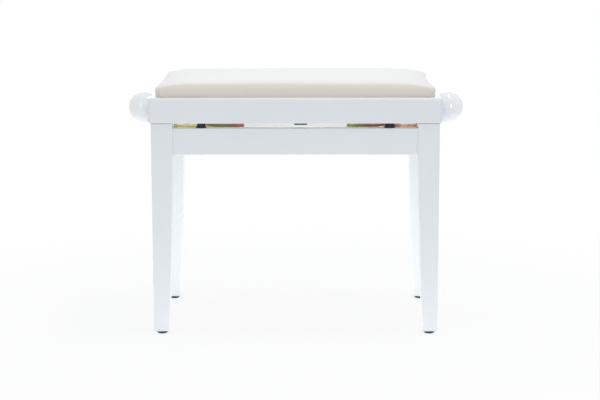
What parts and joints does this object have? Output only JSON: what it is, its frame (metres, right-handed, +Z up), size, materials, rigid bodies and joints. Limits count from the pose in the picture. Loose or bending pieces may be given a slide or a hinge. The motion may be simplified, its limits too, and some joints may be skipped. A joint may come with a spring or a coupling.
{
  "type": "piano bench",
  "caption": "Height-adjustable piano bench: white lacquered base with tapered legs, crossed steel arms driven by a spindle with ball knobs, and a framed seat with a cream velour cushion.",
  "frame": {"origin": "on the floor, under the middle of the bench", "axes": "+X to the right along the seat, +Y to the rear, +Z up; the front faces -Y"},
  "size_m": [0.656, 0.325, 0.485],
  "materials": {
    "white_lacquer": "satin white lacquer",
    "gloss_lacquer": "gloss white lacquer",
    "velour": "short-pile cream velour",
    "foam": "open-cell foam",
    "plywood": "bare plywood",
    "raw_wood": "bare beech",
    "yellow_zinc": "yellow-passivated zinc",
    "bright_steel": "bright zinc",
    "black_rubber": "matt black rubber",
    "black_plastic": "black plastic",
    "nylon": "natural nylon",
    "felt": "dark felt"
  },
  "bodies": {
    "base": {"apron_front": "white_lacquer", "apron_left": "white_lacquer", "apron_rear": "white_lacquer", "apron_right": "white_lacquer", "base_pivot_pins": "yellow_zinc", "buffer_screws": "bright_steel", "channel_screws": "bright_steel", "corner_blocks": "raw_wood", "foot_glides": "black_plastic", "glide_nails": "bright_steel", "leg_bolts": "bright_steel", "leg_front_left": "white_lacquer", "leg_front_right": "white_lacquer", "leg_nuts": "bright_steel", "leg_rear_left": "white_lacquer", "leg_rear_right": "white_lacquer", "rubber_buffers": "black_rubber", "slide_channel_front_left": "yellow_zinc", "slide_channel_front_right": "yellow_zinc", "slide_channel_rear_left": "yellow_zinc", "slide_channel_rear_right": "yellow_zinc"},
    "lift_arms_left": {"lift_arm_front_left": "yellow_zinc", "lift_arm_rear_left": "yellow_zinc"},
    "lift_arms_right": {"lift_arm_front_right": "yellow_zinc", "lift_arm_rear_right": "yellow_zinc"},
    "brace_arms_left": {"brace_arm_front_left": "yellow_zinc", "brace_arm_rear_left": "yellow_zinc", "slide_rod_left": "yellow_zinc", "slide_rod_washers_left": "yellow_zinc", "centre_rivets_left": "yellow_zinc"},
    "brace_arms_right": {"brace_arm_front_right": "yellow_zinc", "brace_arm_rear_right": "yellow_zinc", "slide_rod_right": "yellow_zinc", "slide_rod_washers_right": "yellow_zinc", "centre_rivets_right": "yellow_zinc"},
    "nut_left": {"nut_bar_left": "yellow_zinc", "nut_bar_washers_left": "yellow_zinc"},
    "nut_right": {"nut_bar_right": "yellow_zinc", "nut_bar_washers_right": "yellow_zinc"},
    "seat": {"seat_rail_front": "white_lacquer", "seat_rail_rear": "white_lacquer", "seat_rail_left": "white_lacquer", "seat_rail_right": "white_lacquer", "seat_panel": "plywood", "panel_screws": "bright_steel", "guide_rail_front": "yellow_zinc", "guide_rail_rear": "yellow_zinc", "guide_rail_screws": "bright_steel", "seat_pivot_pins": "yellow_zinc", "spindle_bushes": "nylon", "cushion_board": "plywood", "cushion_foam": "foam", "cushion_cover": "velour", "cushion_screws": "bright_steel", "felt_pad": "felt"},
    "spindle": {"spindle": "bright_steel", "knob_left": "gloss_lacquer", "knob_right": "gloss_lacquer"}
  },
  "joints": [
    {"name": "seat_lift", "type": "hinge", "parent": "base", "child": "lift_arms_left", "pos_m": [-0.236, 0, 0.3945], "axis": [0, -1, 0], "range_deg": [0, 51.12]},
    {"name": "left_cross", "type": "hinge", "parent": "lift_arms_left", "child": "brace_arms_left", "pos_m": [-0.17221, 0, 0.407], "axis": [0, -1, 0], "range_deg": [-102.23, 0]},
    {"name": "seat_level", "type": "hinge", "parent": "brace_arms_left", "child": "seat", "pos_m": [-0.236, 0, 0.4195], "axis": [0, -1, 0], "range_deg": [0, 51.12]},
    {"name": "left_nut_level", "type": "hinge", "parent": "lift_arms_left", "child": "nut_left", "pos_m": [-0.10843, 0, 0.4195], "axis": [0, -1, 0], "range_deg": [-51.12, 0]},
    {"name": "right_lift", "type": "hinge", "parent": "base", "child": "lift_arms_right", "pos_m": [0.236, 0, 0.3945], "axis": [0, 1, 0], "range_deg": [0, 51.12]},
    {"name": "right_cross", "type": "hinge", "parent": "lift_arms_right", "child": "brace_arms_right", "pos_m": [0.17221, 0, 0.407], "axis": [0, 1, 0], "range_deg": [-102.23, 0]},
    {"name": "right_nut_level", "type": "hinge", "parent": "lift_arms_right", "child": "nut_right", "pos_m": [0.10843, 0, 0.4195], "axis": [0, 1, 0], "range_deg": [-51.12, 0]},
    {"name": "knob_turn", "type": "hinge", "parent": "seat", "child": "spindle", "pos_m": [0, 0, 0.4195], "axis": [-1, 0, 0], "range_deg": [0, 6025.56]}
  ],
  "couplings": [
    {"joint": "left_cross", "follows": "seat_lift", "ratio": -2},
    {"joint": "seat_level", "follows": "seat_lift", "ratio": 1},
    {"joint": "left_nut_level", "follows": "seat_lift", "ratio": -1},
    {"joint": "right_lift", "follows": "seat_lift", "ratio": 1},
    {"joint": "right_cross", "follows": "seat_lift", "ratio": -2},
    {"joint": "right_nut_level", "follows": "seat_lift", "ratio": -1},
    {"joint": "knob_turn", "follows": "seat_lift", "ratio": 117.88}
  ]
}
